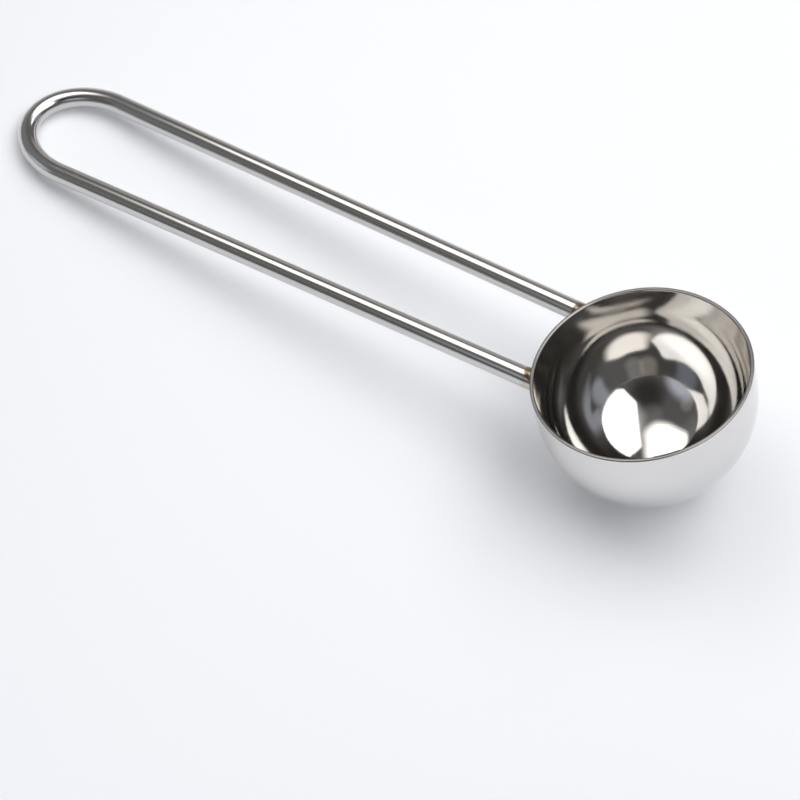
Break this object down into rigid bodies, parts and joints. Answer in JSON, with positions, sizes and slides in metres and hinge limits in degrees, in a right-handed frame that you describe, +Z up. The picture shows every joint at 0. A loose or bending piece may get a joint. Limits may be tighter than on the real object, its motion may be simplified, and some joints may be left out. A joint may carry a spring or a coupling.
{
  "type": "coffee scoop",
  "caption": "Coffee scoop: a deep round bowl of polished stainless sheet with a long looped handle bent from one wire, butt-welded to the bowl's wall just below the rim.",
  "frame": {"origin": "on the table that the scoop lies on, under the middle of its bounding box", "axes": "+Z up from the table, +X from the handle's loop towards the bowl, +Y across the scoop, which is alike on both sides"},
  "size_m": [0.1756, 0.044, 0.0337],
  "materials": {
    "bowl_steel": "stainless sheet, pressed and mirror polished",
    "wire_steel": "stainless wire, bright drawn and polished",
    "weld_steel": "stainless weld, straw heat tint"
  },
  "bodies": {
    "root": {"bowl": "bowl_steel", "wire_handle": "wire_steel", "weld_left": "weld_steel", "weld_right": "weld_steel"}
  },
  "joints": []
}
